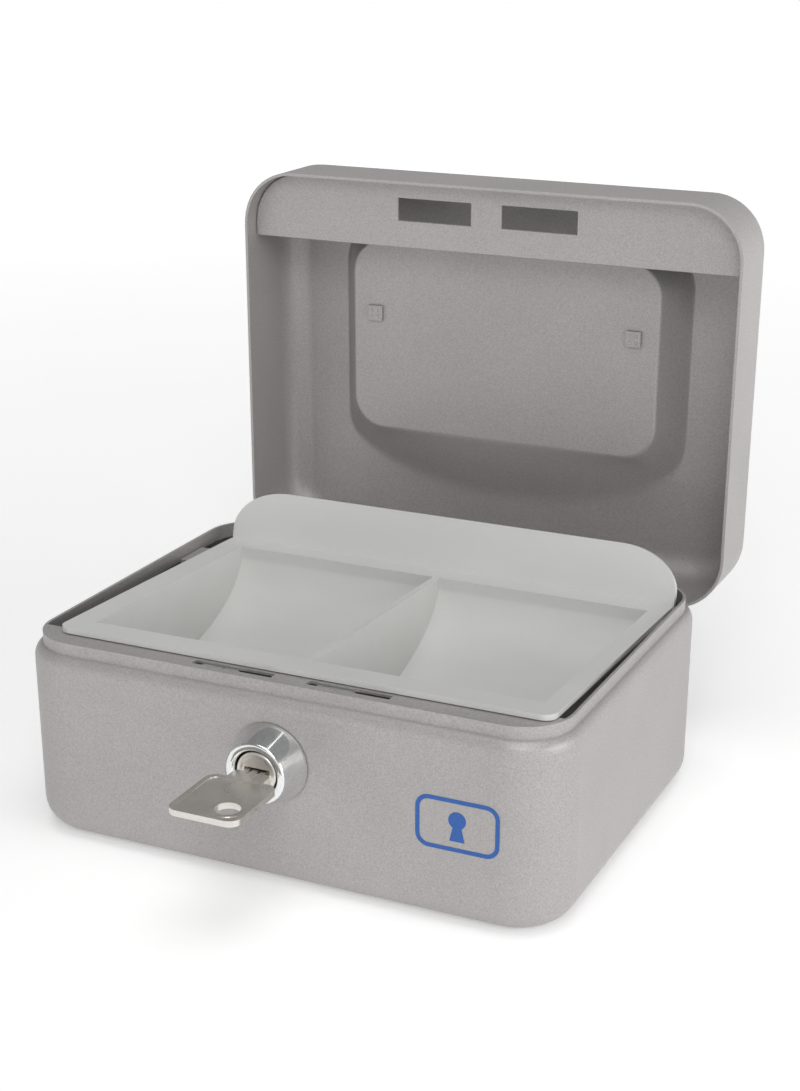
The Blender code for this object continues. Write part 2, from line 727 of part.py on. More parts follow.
def cam_screw(parent):
    under = CAM_REAR_Y + GAP + WASHER_THICK + GAP
    profile = [
        (0, SCREW_END_Y),
        (SCREW_RADIUS, SCREW_END_Y),
        (SCREW_RADIUS, under),
        (SCREW_HEAD_RADIUS, under),
        (SCREW_HEAD_RADIUS - 0.4 * MM, under + SCREW_HEAD),
        (0, under + SCREW_HEAD),
    ]
    screw = turned("cam_screw", profile)
    slots = (("driver_slot_a", 2.0 * MM, 0.4 * MM), ("driver_slot_b", 0.4 * MM, 2.0 * MM))
    for name, half_x, half_z in slots:
        low = (-half_x, under + SCREW_HEAD / 2, LOCK_Z - half_z)
        cut(screw, cut_box(name, low, (half_x, under + SCREW_HEAD + MM, LOCK_Z + half_z)))
    return finish(screw, ZINC, parent)


def pin_clip(parent):
    """A clip on the end of the crank pin, which keeps the hook plate on it."""
    front = HOOK_REAR_Y + GAP
    ring_outline = circle(-CRANK_RADIUS, LOCK_Z, CLIP_RADIUS, 20)
    clip = prism("pin_clip", ring_outline, front, front + CLIP_THICK, "Y", PARTS)
    bore = circle(-CRANK_RADIUS, LOCK_Z, CRANK_PIN_RADIUS + GAP, 20)
    cut(clip, cut_prism("clip_bore", bore, front - MM, front + CLIP_THICK + MM, "Y"))
    mouth = (-CRANK_RADIUS - MM, front - MM, LOCK_Z - CLIP_RADIUS - MM)
    cut(clip, cut_box("clip_mouth", mouth, (-CRANK_RADIUS + MM, front + CLIP_THICK + MM, LOCK_Z)))
    return finish(clip, STEEL, parent)


def hook_outline(left):
    """One hook over the bar, from its left foot round its nose to its right foot."""
    neck = left + HOOK_WIDTH - HOOK_NOSE
    return [
        (left, HOOK_BAR_TOP),
        (left, HOOK_TOP_Z - MM),
        (left + MM, HOOK_TOP_Z),
        (left + HOOK_WIDTH - 1.2 * MM, HOOK_TOP_Z),
        (left + HOOK_WIDTH, HOOK_TOP_Z - 1.2 * MM),
        (left + HOOK_WIDTH, HOOK_UNDER_Z),
        (neck, HOOK_UNDER_Z),
        (neck, HOOK_BAR_TOP),
    ]


def hook_plate(parent):
    """A bar with two hooks. The crank pin carries it up and to the right, always level."""
    lefts = [left_end(i, SLOT_LENGTH, SLOTS_CENTRE_X) + HOOK_START for i in range(2)]
    right = lefts[1] + HOOK_WIDTH - HOOK_NOSE
    tab = arc((-CRANK_RADIUS, LOCK_Z), TAB_RADIUS, TAB_RADIUS, 0, -180, 10)
    outline = hook_outline(lefts[0]) + hook_outline(lefts[1])
    outline += [(right, HOOK_BAR_LOW), (-CRANK_RADIUS + TAB_RADIUS, HOOK_BAR_LOW)]
    outline += tab
    outline += [(-CRANK_RADIUS - TAB_RADIUS, HOOK_BAR_LOW), (lefts[0], HOOK_BAR_LOW)]
    plate = prism("hook_plate", outline, HOOK_FRONT_Y, HOOK_REAR_Y, "Y", PARTS)
    hole = circle(-CRANK_RADIUS, LOCK_Z, CRANK_PIN_RADIUS + GAP, 20)
    cut(plate, cut_prism("plate_hole", hole, HOOK_FRONT_Y - MM, HOOK_REAR_Y + MM, "Y"))
    return finish(plate, ZINC, parent)


def key(parent):
    """A flat key, lying level in the plug, with a square-shouldered bow and a round hole."""
    half = BOW_WIDTH / 2
    blade = BLADE_WIDTH / 2
    bow = rounded(half, BOW_FRONT_Y, BOW_REAR_Y, BOW_CORNER, 4)
    low = LOCK_Z - KEY_THICKNESS / 2
    high = LOCK_Z + KEY_THICKNESS / 2
    made = prism("key", bow, low, high, "Z", PARTS)
    neck = KEY_NECK_WIDTH / 2
    tip = KEY_TIP_Y
    outline = [
        (-neck, BOW_REAR_Y - MM),
        (neck, BOW_REAR_Y - MM),
        (neck, KEY_NECK_END_Y - MM),
        (neck - MM, KEY_NECK_END_Y),
        (blade, KEY_NECK_END_Y),
        (blade, tip - 1.5 * MM),
        (blade - 1.5 * MM, tip),
        (-blade + 1.5 * MM, tip),
        (-blade, tip - 1.5 * MM),
        (-blade, KEY_NECK_END_Y),
        (-neck + MM, KEY_NECK_END_Y),
        (-neck, KEY_NECK_END_Y - MM),
    ]
    join(made, cut_prism("blade", outline, low + 0.05 * MM, high - 0.05 * MM, "Z"))
    hole = circle(KEY_HOLE_X, KEY_HOLE_Y, KEY_HOLE_RADIUS, 24)
    cut(made, cut_prism("key_hole", hole, low - MM, high + MM, "Z"))
    return finish(made, NICKEL, parent)


# ---------------------------------------------------------------- coin tray, modelled level at its own origin


def pocket_profile(grow, top):
    """A pocket's section as (y, z): upright in front, and one sweep from the floor up to the back."""
    front = POCKET_FRONT - grow
    depth = POCKET_DEPTH + grow
    corner = 4 * MM + grow
    sweep = arc((POCKET_SWEEP, 0), POCKET_REAR + grow - POCKET_SWEEP, depth, -7, -90, 10)
    front_corner = arc((front + corner, -depth + corner), corner, corner, 270, 180, 4)
    return [(sweep[0][0], top), *sweep, *front_corner, (front, top)]


def panel_outline():
    """The upright back panel as (x, z), with large rounded top corners."""
    half = TRAY_HALF_W
    corner = (half - PANEL_CORNER, PANEL_HEIGHT - PANEL_CORNER_RISE)
    right = [(half, -RIM_THICK / 2), *arc(corner, PANEL_CORNER, PANEL_CORNER_RISE, 0, 90, 8)]
    return right + [(-x, z) for x, z in reversed(right)]


def coin_tray(parent):
    front = rounded(TRAY_HALF_W, 0, TRAY_LENGTH, 3.5 * MM, 4)
    tray = prism("coin_tray", front, -RIM_THICK, 0, "Z", PARTS)
    left = POCKETS_X - POCKET_HALF_W
    right = POCKETS_X + POCKET_HALF_W
    outside = pocket_profile(TRAY_WALL, -RIM_THICK / 2)
    block = cut_prism("pocket_block", outside, left - TRAY_WALL, right + TRAY_WALL, "X")
    panel = prism("back_panel", panel_outline(), 0, TRAY_WALL, "Y", CUTTERS)
    lean = math.radians(PANEL_LEAN_DEG)
    place = Matrix.Translation((0, TRAY_LENGTH - TRAY_WALL - 0.3 * MM, -0.4 * MM))
    panel.data.transform(place @ Matrix.Rotation(-lean, 4, "X"))
    join(tray, block, cutter(panel))
    cut(tray, cut_prism("pocket_left", pocket_profile(0, MM), left, POCKETS_X - DIVIDER / 2, "X"))
    cut(tray, cut_prism("pocket_right", pocket_profile(0, MM), POCKETS_X + DIVIDER / 2, right, "X"))
    tray.location = (TRAY_X, TRAY_FRONT_Y, TRAY_TOP_Z)
    tray.rotation_euler = (math.radians(TRAY_PITCH_DEG), 0, 0)
    for modifier in tray.modifiers:
        modifier.object.matrix_world = tray.matrix_basis
    tray.data.materials.append(PLASTIC)
    return tray


# ---------------------------------------------------------------- assembly


def build_lock():
    turn_axis = axis_empty("lock_turn_axis", (0, LOCK_FACE_Y, LOCK_Z))
    plate_axis = axis_empty("hook_plate_axis", (-CRANK_RADIUS, HOOK_FRONT_Y, LOCK_Z), turn_axis)
    slide_axis = axis_empty("key_slide_axis", (0, PLUG_FACE_Y, LOCK_Z), turn_axis)
    lock_housing()
    lock_nut()
    lock_plug(turn_axis)
    for i, y in enumerate(wafer_places()):
        wafer(i + 1, y, turn_axis)
    lock_cam(turn_axis)
    cam_washer(turn_axis)
    cam_screw(turn_axis)
    pin_clip(turn_axis)
    hook_plate(plate_axis)
    key(slide_axis)
    lock_cover()


def build_lid():
    opened = (math.radians(-LID_OPEN_DEG), 0, 0)
    hinge_axis = axis_empty("lid_hinge_axis", (0, HINGE_Y, HINGE_Z), rotation=opened)
    pivot = (0, from_back(HANDLE_PIVOT_V), HANDLE_PIVOT_Z)
    handle_axis = axis_empty("handle_axis", pivot, hinge_axis)
    lid_shell(hinge_axis)
    lid_latch_flange(hinge_axis)
    hinge_leaf("hinge_leaf_lid", 1, 1, LEAF_LID_HEIGHT, hinge_axis)
    handle_bracket("handle_bracket_left", -1, hinge_axis)
    handle_bracket("handle_bracket_right", 1, hinge_axis)
    handle_bail(handle_axis)


def main():
    box_body()
    tray_rest("tray_rest_left", -1)
    tray_rest("tray_rest_right", 1)
    hinge_leaf("hinge_leaf_body", 0, -1, LEAF_BODY_HEIGHT)
    hinge_pin()
    build_lid()
    build_lock()
    coin_tray(None)


clear_scene()
PARTS = new_collection("cash_box")
CUTTERS = new_collection("cutters")
CUTTERS.hide_render = True
PAINT = material("grey_paint", (0.42, 0.40, 0.39), 0.1, 0.55)
PLASTIC = material("tray_plastic", (0.60, 0.60, 0.59), 0.0, 0.5)
CHROME = material("chrome", (0.80, 0.80, 0.80), 1.0, 0.12)
NICKEL = material("nickel", (0.66, 0.65, 0.62), 1.0, 0.3)
ZINC = material("zinc", (0.58, 0.60, 0.61), 1.0, 0.4)
STEEL = material("steel", (0.45, 0.45, 0.45), 1.0, 0.4)
BRASS = material("brass", (0.75, 0.58, 0.27), 1.0, 0.35)
main()
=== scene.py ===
"""The looks of the cash box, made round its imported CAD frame.

Metres, in the frame's axes: +X right, +Y to the back, +Z up. The lid and what rides on it are modelled
closed, then turned open about the frame's hinge. Sizes in MM below are the CAD's.
"""

import json
import math

import bmesh
import bpy
import numpy as np
from mathutils import Matrix, Vector

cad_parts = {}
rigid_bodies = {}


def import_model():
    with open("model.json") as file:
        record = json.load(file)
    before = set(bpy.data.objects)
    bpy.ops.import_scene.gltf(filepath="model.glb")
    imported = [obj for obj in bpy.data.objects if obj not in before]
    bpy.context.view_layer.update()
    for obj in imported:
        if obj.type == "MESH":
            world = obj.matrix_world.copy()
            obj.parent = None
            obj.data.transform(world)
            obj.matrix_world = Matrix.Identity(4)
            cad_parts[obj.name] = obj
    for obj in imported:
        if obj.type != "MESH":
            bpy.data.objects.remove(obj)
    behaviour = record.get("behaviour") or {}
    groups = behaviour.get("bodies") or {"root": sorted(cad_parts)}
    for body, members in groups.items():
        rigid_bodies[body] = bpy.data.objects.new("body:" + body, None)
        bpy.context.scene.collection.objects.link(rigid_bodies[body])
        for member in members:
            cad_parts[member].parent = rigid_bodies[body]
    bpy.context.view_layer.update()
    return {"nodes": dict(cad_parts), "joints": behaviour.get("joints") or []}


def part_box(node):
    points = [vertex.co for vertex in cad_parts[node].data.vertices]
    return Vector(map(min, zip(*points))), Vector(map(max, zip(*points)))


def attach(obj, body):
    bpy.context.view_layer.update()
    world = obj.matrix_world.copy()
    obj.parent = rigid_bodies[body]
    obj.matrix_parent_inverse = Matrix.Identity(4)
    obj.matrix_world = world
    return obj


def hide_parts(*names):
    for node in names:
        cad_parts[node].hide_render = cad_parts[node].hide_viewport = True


MM = 0.001
SHEET = 0.8 * MM
GAP = 0.3 * MM

# The body
HALF_WIDTH = 76 * MM
HALF_DEPTH = 57.5 * MM
CORNER_RADIUS = 15.5 * MM
BOTTOM_RADIUS = 8.5 * MM
SHOULDER_Z = 48.6 * MM
SEAM_Z = 52.0 * MM
NECK_INSET = 2.2 * MM
NECK_INSET_FRONT = 2.5 * MM
LEDGE_REAR_Y = -45.4 * MM
SLOT_FRONT_Y = -52.6 * MM
SLOT_REAR_Y = -50.2 * MM
SLOT_LENGTH = 22.6 * MM
SLOTS_CENTRE_X = 2.8 * MM
HOOK_PITCH = 32.2 * MM

# The lid, closed
LID_TOP_Z = 80 * MM
LID_TOP_RADIUS = 8 * MM
LID_RIM_Z = 52.3 * MM
LID_WALL_RING_Z = 62 * MM
SIDE_STEPS = 22
RECESS_DEPTH = 10.2 * MM
RECESS_HALF_X = 55.5 * MM
RECESS_FRONT_Y = -40.5 * MM
RECESS_CORNER = 12 * MM
SCOOP_ENDS_Y = 19.5 * MM
SCOOP_BACK_Y = 42 * MM
FLOOR_HALF_X = 47.5 * MM
FLOOR_FRONT_Y = -36.5 * MM
FLOOR_BACK_Y = 19 * MM
FLOOR_CORNER = 9 * MM
OPENING_LENGTH = 22.8 * MM
OPENING_FRONT_Y = -52.0 * MM
OPENING_REAR_Y = -45.6 * MM
OPENINGS_CENTRE_X = -0.85 * MM
FLANGE_UNDER_Z = 57.6 * MM
FLANGE_DEPTH = 18.5 * MM
FLANGE_UPSTAND = 8 * MM
PIVOT_X = 40.9 * MM
PIVOT_Y = -15.5 * MM
PIVOT_Z = 73.0 * MM
HANDLE_REACH = 33 * MM
HANDLE_LEG_X = 33.5 * MM
HANDLE_FOLD = 4 * MM
HANDLE_GRIP = 7 * MM
WIRE_RADIUS = 2 * MM
LUG_HALF_WIDTH = 3 * MM
LUG_HALF_LENGTH = 4 * MM
LUG_RISE = 3.2 * MM
LUG_CROWN = 3 * MM
SHANK = 3.4 * MM
CLINCH = 4.6 * MM
CLINCH_THICK = 0.7 * MM
CLINCH_MARK_RADIUS = 0.45 * MM

# The lock and key
LOCK_Z = 35 * MM
COLLAR_BASE_RADIUS = 10.5 * MM
COLLAR_FACE_RADIUS = 8.2 * MM
BARREL_RADIUS = 7.2 * MM
BORE_RADIUS = 5.8 * MM
PLUG_RADIUS = 5.5 * MM
PLUG_RECESS = 0.8 * MM
COLLAR_EDGE = 0.7 * MM
PLUG_DISH_RADIUS = 4.1 * MM
PLUG_DISH_EDGE = 4.5 * MM
PLUG_DISH_DEPTH = 0.35 * MM
PLUG_CHAMFER = 0.3 * MM
DRIVE_SQUARE = 5.0 * MM
KEYWAY_WIDTH = 6.8 * MM
KEYWAY_HEIGHT = 2.2 * MM
KEYWAY_DEPTH = 7.5 * MM
WARD_START = 2 * MM
WARD_END = 2.3 * MM
WARD_RISE = 0.5 * MM
KEY_THICKNESS = 1.6 * MM
BOW_WIDTH = 19 * MM
BOW_LENGTH = 21.5 * MM
BOW_CORNER = 3 * MM
BOW_RIM = 1.3 * MM
BOW_PANEL_CORNER = 2.2 * MM
BOW_PANEL_DEPTH = 0.18 * MM
BOSS_WIDTH = 1.1 * MM
BLADE_WIDTH = 5.6 * MM
BLADE_POINT = 1.5 * MM
GROOVE_X = 1.2 * MM
GROOVE_HALF_WIDTH = 0.35 * MM
GROOVE_DEPTH = 0.45 * MM
KEY_NECK_WIDTH = 10 * MM
KEY_NECK_LENGTH = 4.5 * MM
KEY_HOLE = (4.2 * MM, -86.0 * MM, 3.2 * MM)

# The coin tray, level at its own origin
TRAY_FRONT_Y = -49.4 * MM
TRAY_TOP_Z = 57.2 * MM
RIM_THICK = 1.5 * MM
RIM_CORNER = 3.5 * MM
TRAY_WALL = 1.6 * MM
TRAY_PITCH_DEG = -2.18
TRAY_LENGTH = 93.5 * MM
POCKET_HALF_W = 62.8 * MM
POCKETS_X = 1.0 * MM
POCKET_FRONT = 7.6 * MM
POCKET_REAR = 85 * MM
POCKET_DEPTH = 25 * MM
POCKET_SWEEP = 30 * MM
POCKET_CORNER = 4 * MM
PANEL_DROP = 0.4 * MM
DIVIDER = 1.8 * MM
PANEL_HEIGHT = 15.4 * MM
PANEL_CORNER = 17 * MM
PANEL_CORNER_RISE = 12 * MM
PANEL_LEAN_DEG = 14

# The badge
BADGE_X = 50.5 * MM
BADGE_Z = 28 * MM
BADGE_GAP = 0.02 * MM
BADGE_THICK = 0.06 * MM
BADGE_HALF = (11 * MM, 7 * MM, 3.5 * MM)
BADGE_INNER_HALF = (9.9 * MM, 5.9 * MM, 2.5 * MM)
KEYHOLE_HEAD_Z = 1.4 * MM
KEYHOLE_HEAD_RADIUS = 2.3 * MM
KEYHOLE_FOOT = (2.0 * MM, -4.2 * MM)

# The camera
TARGET = Vector((14.79, 0, 35.69)) * MM
DISTANCE = 0.5272
AZIMUTH_DEG = 24.46
ELEVATION_DEG = 22.88
ROLL_DEG = 0.28
LENS = 64.67
SHIFT_X = -0.0196
SHIFT_Y = 0.1300

# The light: each lamp's name, place and size in metres, and power in watts
LAMPS = (
    ("overhead", (0.15, -0.25, 1.3), (0.9, 0.9), 5.5),
    ("right", (1.3, -0.1, 0.35), (0.7, 0.5), 4.5),
    ("front", (0.5, -1.1, 0.95), (0.6, 0.6), 6),
)
# The world's strength along each axis: from and to on that axis, and the strength at either end
WORLD_STRENGTH = (("Z", 0, 0.55, 0.98, 0.28), ("X", -1, 1, 0.75, 1.1))
FLOOR_REACH = (0.2, 1.2)
FLOOR_GLOW = (0.25, 0.68)

QUARTER_TURN = [math.radians(90 * i / 8) for i in range(9)]


# ---------------------------------------------------------------- mesh helpers


def new_object(name, made):
    """An object from a bmesh, with its faces turned out."""
    mesh = bpy.data.meshes.new(name)
    bmesh.ops.recalc_face_normals(made, faces=made.faces)
    made.to_mesh(mesh)
    made.free()
    obj = bpy.data.objects.new(name, mesh)
    bpy.context.scene.collection.objects.link(obj)
    return obj


def arc(centre, radius_x, radius_y, start_deg, end_deg, steps):
    angles = [math.radians(start_deg + (end_deg - start_deg) * i / steps) for i in range(steps + 1)]
    return [(centre[0] + radius_x * math.cos(a), centre[1] + radius_y * math.sin(a)) for a in angles]


def circle(x, y, radius, steps=48):
    return arc((x, y), radius, radius, 0, 360 - 360 / steps, steps - 1)


def rounded(half_x, low_y, high_y, radius, steps=14, between=0):
    """A rounded rectangle from its right end round by the back, with points between along the sides."""
    corners = ((1, high_y), (-1, high_y), (-1, low_y), (1, low_y))
    points = []
    for turn, (side, y) in enumerate(corners):
        up = 1 if turn < 2 else -1
        centre = (side * (half_x - radius), y - up * radius)
        points += arc(centre, radius, radius, 90 * turn, 90 * turn + 90, steps)
        next_side, next_y = corners[(turn + 1) % 4]
        next_up = 1 if (turn + 1) % 4 < 2 else -1
        start = Vector(points[-1])
        turned = math.radians(90 * (turn + 1))
        end = Vector((next_side * (half_x - radius), next_y - next_up * radius))
        end += Vector((math.cos(turned), math.sin(turned))) * radius
        points += [tuple(start.lerp(end, (i + 1) / (between + 1))) for i in range(between)]
    return points


def loft(name, rings):
    """A skin through the rings, closed over the first one."""
    made = bmesh.new()
    loops = [[made.verts.new(point) for point in ring] for ring in rings]
    count = len(loops[0])
    for lower, upper in zip(loops, loops[1:]):
        for i in range(count):
            k = (i + 1) % count
            made.faces.new((lower[i], lower[k], upper[k], upper[i]))
    made.faces.new(loops[0])
    return new_object(name, made)


def level(points, z):
    return [(x, y, z) for x, y in points]


def prism(name, outline, start, end, axis):
    """A flat outline swept along an axis: (x, z) points along Y, (y, z) along X, or (x, y) along Z."""
    made = bmesh.new()
    place = {
        "X": lambda p: (start, p[0], p[1]),
        "Y": lambda p: (p[0], start, p[1]),
        "Z": lambda p: (p[0], p[1], start),
    }[axis]
    face = made.faces.new([made.verts.new(place(p)) for p in outline])
    swept = bmesh.ops.extrude_face_region(made, geom=[face])["geom"]
    verts = [part for part in swept if isinstance(part, bmesh.types.BMVert)]
    bmesh.ops.translate(made, verts=verts, vec=[end - start if one == axis else 0 for one in "XYZ"])
    return new_object(name, made)


def box(name, low, high):
    made = bmesh.new()
    bmesh.ops.create_cube(made, size=1)
    for vert in made.verts:
        vert.co = [low[i] + (vert.co[i] + 0.5) * (high[i] - low[i]) for i in range(3)]
    return new_object(name, made)


def turned(name, profile, steps=96):
    """A profile of (radius, y) points turned round the lock's axis."""
    made = bmesh.new()
    verts = [made.verts.new((radius, y, 0)) for radius, y in profile]
    edges = [made.edges.new(pair) for pair in zip(verts, verts[1:])]
    if profile[0][0] > 0:
        edges.append(made.edges.new((verts[-1], verts[0])))
    whole = {"angle": 2 * math.pi, "axis": (0, 1, 0), "cent": (0, 0, 0)}
    bmesh.ops.spin(made, geom=verts + edges, steps=steps, **whole)
    bmesh.ops.remove_doubles(made, verts=made.verts, dist=1e-7)
    bmesh.ops.translate(made, verts=made.verts, vec=(0, 0, LOCK_Z))
    return new_object(name, made)


def apply_modifiers(obj):
    """The object's mesh with its modifiers applied, and flat areas made whole."""
    graph = bpy.context.evaluated_depsgraph_get()
    made = bmesh.new()
    made.from_object(obj, graph)
    obj.modifiers.clear()
    bmesh.ops.remove_doubles(made, verts=made.verts, dist=2e-6)
    bmesh.ops.dissolve_limit(made, angle_limit=math.radians(0.4), verts=made.verts, edges=made.edges)
    made.to_mesh(obj.data)
    made.free()


def combine(obj, operation, *others):
    """One Boolean for each of the others, which then go."""
    for other in others:
        made = obj.modifiers.new(other.name, "BOOLEAN")
        made.operation = operation
        made.object = other
        made.solver = "EXACT"
    apply_modifiers(obj)
    for other in others:
        bpy.data.objects.remove(other)


def bevel(obj, width, segments=3, angle_deg=40):
    made = obj.modifiers.new("edges", "BEVEL")
    made.width = width
    made.segments = segments
    made.limit_method = "ANGLE"
    made.angle_limit = math.radians(angle_deg)
    made.use_clamp_overlap = True


def smooth(obj, sharp_deg=35):
    obj.data.shade_smooth()
    obj.data.set_sharp_from_angle(angle=math.radians(sharp_deg))
    weighted = obj.modifiers.new("normals", "WEIGHTED_NORMAL")
    weighted.keep_sharp = True
    weighted.weight = 80


def thicken(obj):
    sheet = obj.modifiers.new("sheet", "SOLIDIFY")
    sheet.thickness = SHEET
    sheet.offset = -1
    sheet.use_even_offset = True


def place(obj, material, slot, body, *nodes):
    """Give a finished piece its material and the body that it rides on, and hide the CAD nodes that it stands
    for.
    """
    obj.data.materials.clear()
    obj.data.materials.append(material)
    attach(obj, body)
    if nodes:
        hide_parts(*nodes)


# ---------------------------------------------------------------- materials


class Finish:
    """A Principled material whose details come from noise in the object's own space."""

    def __init__(self, name, colour, metallic, roughness):
        self.material = bpy.data.materials.new(name)
        self.material.use_nodes = True
        self.nodes = self.material.node_tree.nodes
        self.links = self.material.node_tree.links
        self.shader = self.nodes["Principled BSDF"]
        self.shader.inputs["Base Color"].default_value = (*colour, 1)
        self.shader.inputs["Metallic"].default_value = metallic
        self.shader.inputs["Roughness"].default_value = roughness
        self.colour = colour
        self.place = self.nodes.new("ShaderNodeTexCoord").outputs["Object"]
        self.height = None

    def noise(self, size, stretch=(1, 1, 1), detail=3):
        """Noise with features about size across, drawn out along an axis where stretch is over 1."""
        mapping = self.nodes.new("ShaderNodeMapping")
        mapping.inputs["Scale"].default_value = [1 / one for one in stretch]
        self.links.new(self.place, mapping.inputs["Vector"])
        made = self.nodes.new("ShaderNodeTexNoise")
        made.inputs["Scale"].default_value = 1 / size
        made.inputs["Detail"].default_value = detail
        self.links.new(mapping.outputs["Vector"], made.inputs["Vector"])
        return made.outputs["Fac"]

    def ranged(self, value, low, high, start=0.3, end=0.7):
        made = self.nodes.new("ShaderNodeMapRange")
        made.inputs["From Min"].default_value = start
        made.inputs["From Max"].default_value = end
        made.inputs["To Min"].default_value = low
        made.inputs["To Max"].default_value = high
        self.links.new(value, made.inputs["Value"])
        return made.outputs["Result"]

    def vary_colour(self, *values):
        """Multiply the colour by each of these values in turn."""
        colour = None
        for value in values:
            mix = self.nodes.new("ShaderNodeVectorMath")
            mix.operation = "SCALE"
            if colour is None:
                mix.inputs[0].default_value = self.colour
            else:
                self.links.new(colour, mix.inputs[0])
            self.links.new(value, mix.inputs["Scale"])
            colour = mix.outputs["Vector"]
        self.links.new(colour, self.shader.inputs["Base Color"])

    def vary_roughness(self, value):
        self.links.new(value, self.shader.inputs["Roughness"])

    def bump(self, value, depth):
        made = self.nodes.new("ShaderNodeBump")
        made.inputs["Strength"].default_value = 1
        made.inputs["Distance"].default_value = depth
        self.links.new(value, made.inputs["Height"])
        if self.height:
            self.links.new(self.height, made.inputs["Normal"])
        self.height = made.outputs["Normal"]
        self.links.new(self.height, self.shader.inputs["Normal"])


def paint_finish(name, colour):
    """Silver-grey powder coat: a fine metallic fleck over a slightly pebbled skin."""
    paint = Finish(name, colour, 0.3, 0.45)
    fleck = paint.noise(0.4 * MM, detail=4)
    cloud = paint.noise(26 * MM)
    paint.vary_colour(paint.ranged(fleck, 0.84, 1.16), paint.ranged(cloud, 0.97, 1.03))
    paint.vary_roughness(paint.ranged(paint.noise(0.8 * MM), 0.38, 0.52))
    paint.bump(fleck, 0.02 * MM)
    paint.bump(paint.noise(1.6 * MM), 0.02 * MM)
    return paint.material


def plastic_finish():
    """Satin moulded plastic, with a faint flow pattern and a fine spark texture."""
    plastic = Finish("tray_plastic", (0.60, 0.60, 0.585), 0, 0.42)
    plastic.shader.inputs["Subsurface Weight"].default_value = 0.05
    plastic.shader.inputs["Subsurface Radius"].default_value = (0.002, 0.002, 0.002)
    plastic.shader.inputs["Subsurface Scale"].default_value = 0.5
    flow = plastic.noise(14 * MM, stretch=(3, 1, 1))
    grain = plastic.noise(0.35 * MM)
    plastic.vary_colour(plastic.ranged(flow, 0.97, 1.02), plastic.ranged(grain, 0.985, 1.015))
    plastic.vary_roughness(plastic.ranged(flow, 0.36, 0.46))
    plastic.bump(grain, 0.006 * MM)
    return plastic.material


def metal_finish(name, colour, roughness, stretch=(1, 1, 1), size=0.6 * MM, depth=0.004 * MM):
    """Plated metal with drawn-out polishing marks and a few cloudy patches."""
    metal = Finish(name, colour, 1, roughness)
    marks = metal.noise(size, stretch=stretch, detail=5)
    cloud = metal.noise(5 * MM)
    metal.vary_colour(metal.ranged(marks, 0.94, 1.04), metal.ranged(cloud, 0.96, 1.02))
    metal.vary_roughness(metal.ranged(cloud, roughness * 0.75, roughness * 1.3))
    metal.bump(marks, depth)
    return metal.material


def enamel_finish():
    """Blue screen-printed ink, a little glossier than the paint under it."""
    enamel = Finish("badge_ink", (0.015, 0.095, 0.36), 0, 0.35)
    cover = enamel.noise(0.5 * MM)
    enamel.vary_colour(enamel.ranged(cover, 0.85, 1.15))
    enamel.bump(cover, 0.008 * MM)
    return enamel.material


# ---------------------------------------------------------------- body


def slot_lefts(length, centre):
    """The left ends of the two slots, or openings, in line."""
    first = centre - HOOK_PITCH / 2 - length / 2
    return (first, first + HOOK_PITCH)


def body_rings(low, high):
    """The body's skin from the edge of its flat bottom, up the wall and over the shoulder to the neck."""
    half = high.x
    rings = []
    for turn in QUARTER_TURN:
        inset = BOTTOM_RADIUS * (1 - math.sin(turn))
        outline = rounded(half - inset, low.y + inset, high.y - inset, CORNER_RADIUS - inset)
        rings.append(level(outline, BOTTOM_RADIUS * (1 - math.cos(turn))))
    for turn in QUARTER_TURN:
        z = SHOULDER_Z + (SEAM_Z - SHOULDER_Z) * math.sin(turn)
        rings.append(neck_ring(low, high, 1 - math.cos(turn), z))
    rings.append(neck_ring(low, high, 1, high.z))
    return rings


def neck_ring(low, high, share, z):
    side = NECK_INSET * share
    front = NECK_INSET_FRONT * share
    return level(rounded(high.x - side, low.y + front, high.y - side, CORNER_RADIUS - side), z)


def make_body(material):
    low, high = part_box("box_body")
    body = loft("body", body_rings(low, high))
    thicken(body)
    half = high.x - NECK_INSET - SHEET / 2
    edge = rounded(half, low.y + NECK_INSET_FRONT + SHEET / 2, high.y, CORNER_RADIUS - NECK_INSET - SHEET / 2)
    front_edge = [point for point in edge if point[1] < LEDGE_REAR_Y]
    outline = [(-half, LEDGE_REAR_Y), *front_edge, (half, LEDGE_REAR_Y)]
    combine(body, "UNION", prism("ledge", outline, high.z - SHEET, high.z, "Z"))
    cuts = []
    for left in slot_lefts(SLOT_LENGTH, SLOTS_CENTRE_X):
        bottom = (left, SLOT_FRONT_Y, high.z - 3 * MM)
        cuts.append(box("slot", bottom, (left + SLOT_LENGTH, SLOT_REAR_Y, high.z + MM)))
    hole = circle(0, LOCK_Z, BARREL_RADIUS + GAP)
    cuts.append(prism("lock_hole", hole, low.y - MM, low.y + 2 * MM, "Y"))
    combine(body, "DIFFERENCE", *cuts)
    bevel(body, 0.25 * MM, segments=2, angle_deg=60)
    smooth(body, 50)
    place(body, material, "paint", "box", "box_body")


# ---------------------------------------------------------------- lid, modelled closed


def open_lid(obj):
    """Turn a piece that was modelled on the closed lid to where the open lid holds it."""
    hinge = next(joint for joint in frame["joints"] if joint["name"] == "lid_hinge")
    centre = Matrix.Translation(hinge["pos_m"])
    obj.data.transform(centre @ Matrix.Rotation(math.radians(-90), 4, "X") @ centre.inverted())


def recess_outline():
    """The recess at the lid's top face: straight in front, and a wide finger scoop at the back."""
    back = arc((0, SCOOP_ENDS_Y), RECESS_HALF_X, SCOOP_BACK_Y - SCOOP_ENDS_Y, 0, 180, 48)
    front = rounded(RECESS_HALF_X, RECESS_FRONT_Y, SCOOP_ENDS_Y, RECESS_CORNER)
    return back + front[len(front) // 2 :]


